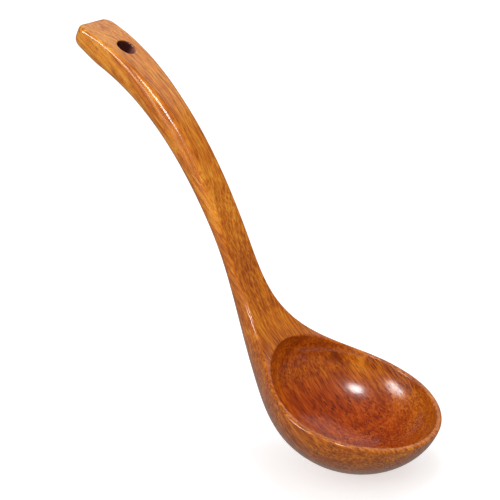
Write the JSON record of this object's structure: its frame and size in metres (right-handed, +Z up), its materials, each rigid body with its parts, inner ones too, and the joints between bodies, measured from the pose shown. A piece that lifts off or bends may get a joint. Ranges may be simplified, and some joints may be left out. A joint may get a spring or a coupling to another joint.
{
  "type": "wooden soup ladle",
  "caption": "Carved wooden soup ladle with a deep round bowl, a curved flat-topped handle and a hanging hole, under clear lacquer.",
  "frame": {"origin": "middle of the hanging hole, on the hole's axis and halfway through the handle", "axes": "+X horizontally from the handle towards the tip of the bowl, +Y across the bowl, +Z up. The ladle stands bowl down as in the picture, with the rim dipping 16 degrees towards its tip"},
  "size_m": [0.2077, 0.0944, 0.2086],
  "materials": {
    "lacquered_wood": "clear gloss lacquer"
  },
  "bodies": {
    "root": {"bowl": "lacquered_wood", "handle": "lacquered_wood", "handle_end": "lacquered_wood"}
  },
  "joints": []
}
